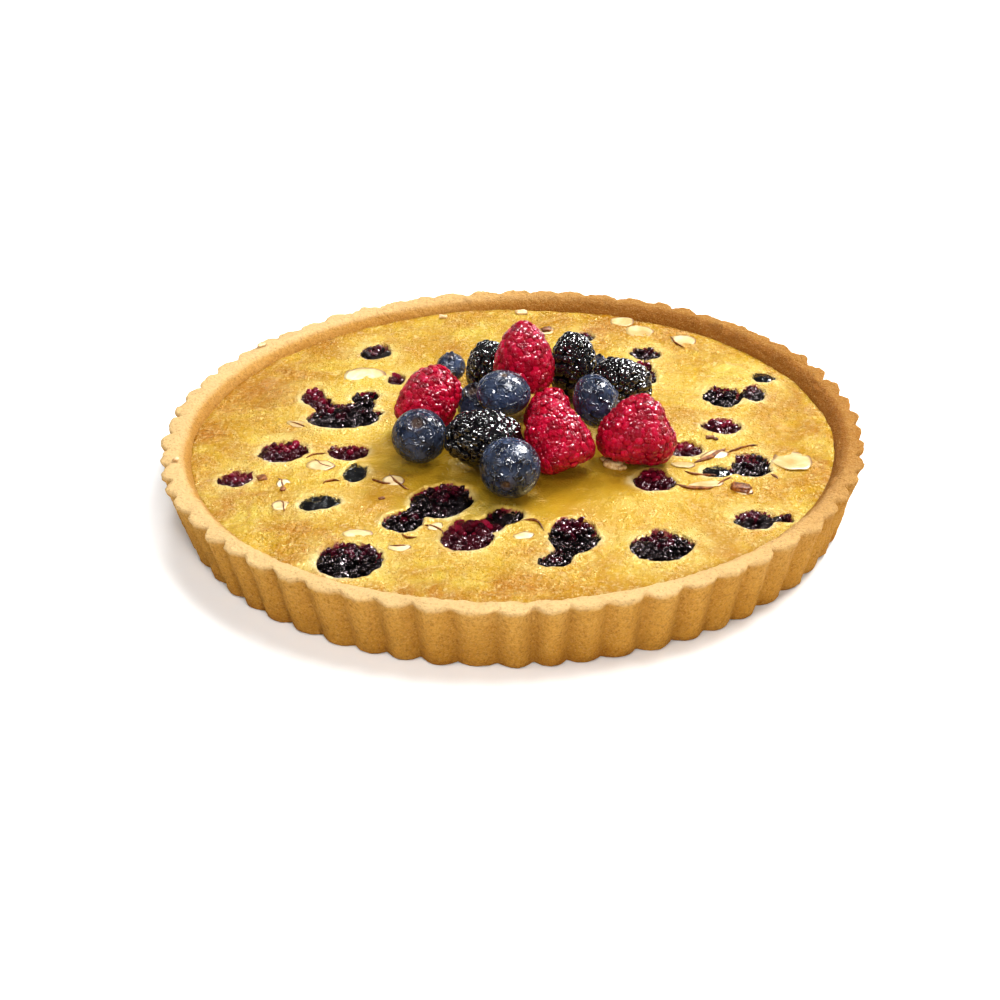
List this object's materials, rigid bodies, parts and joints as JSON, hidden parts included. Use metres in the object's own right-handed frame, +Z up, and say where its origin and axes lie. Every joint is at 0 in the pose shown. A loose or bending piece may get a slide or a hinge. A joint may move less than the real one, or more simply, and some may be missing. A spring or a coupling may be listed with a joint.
{
  "type": "fruit tart",
  "caption": "Round baked custard tart in a fluted shortcrust case, with berries baked into the filling and a pile of fresh berries on the middle.",
  "frame": {"origin": "centre of the flat foot of the case, on the surface that the tart stands on", "axes": "+Z up out of the tart; -Y towards the side that the picture shows nearest; +X to the right in the picture"},
  "size_m": [0.2298, 0.23, 0.0529],
  "materials": {
    "crust": "matt baked shortcrust, pale gold with darker valleys, stands in for pastry",
    "filling": "glossy golden baked custard with amber glaze and almond flakes",
    "fresh_raspberry": "wet red raspberry with small drupelets",
    "fresh_bramble": "wet black bramble fruit with large drupelets",
    "fresh_blueberry": "glazed dark blue skin with a pale bloom",
    "baked_raspberry": "collapsed dark red baked berry, wet",
    "baked_bramble": "collapsed purple-black baked berry, wet",
    "baked_blueberry": "collapsed dark blue baked berry, wet"
  },
  "bodies": {
    "root": {"baked_blueberry_1": "baked_blueberry", "baked_blueberry_2": "baked_blueberry", "baked_blueberry_3": "baked_blueberry", "baked_blueberry_4": "baked_blueberry", "baked_bramble_1": "baked_bramble", "baked_bramble_10": "baked_bramble", "baked_bramble_11": "baked_bramble", "baked_bramble_12": "baked_bramble", "baked_bramble_13": "baked_bramble", "baked_bramble_14": "baked_bramble", "baked_bramble_15": "baked_bramble", "baked_bramble_16": "baked_bramble", "baked_bramble_17": "baked_bramble", "baked_bramble_18": "baked_bramble", "baked_bramble_2": "baked_bramble", "baked_bramble_3": "baked_bramble", "baked_bramble_4": "baked_bramble", "baked_bramble_5": "baked_bramble", "baked_bramble_6": "baked_bramble", "baked_bramble_7": "baked_bramble", "baked_bramble_8": "baked_bramble", "baked_bramble_9": "baked_bramble", "baked_raspberry_1": "baked_raspberry", "baked_raspberry_10": "baked_raspberry", "baked_raspberry_2": "baked_raspberry", "baked_raspberry_3": "baked_raspberry", "baked_raspberry_4": "baked_raspberry", "baked_raspberry_5": "baked_raspberry", "baked_raspberry_6": "baked_raspberry", "baked_raspberry_7": "baked_raspberry", "baked_raspberry_8": "baked_raspberry", "baked_raspberry_9": "baked_raspberry", "blueberry_back_left": "fresh_blueberry", "blueberry_back_right": "fresh_blueberry", "blueberry_front": "fresh_blueberry", "blueberry_front_left": "fresh_blueberry", "blueberry_middle": "fresh_blueberry", "blueberry_right": "fresh_blueberry", "blueberry_top": "fresh_blueberry", "bramble_back": "fresh_bramble", "bramble_front": "fresh_bramble", "bramble_left": "fresh_bramble", "bramble_right": "fresh_bramble", "crust": "crust", "filling": "filling", "raspberry_back": "fresh_raspberry", "raspberry_front": "fresh_raspberry", "raspberry_left": "fresh_raspberry", "raspberry_right": "fresh_raspberry", "raspberry_top": "fresh_raspberry"}
  },
  "joints": []
}
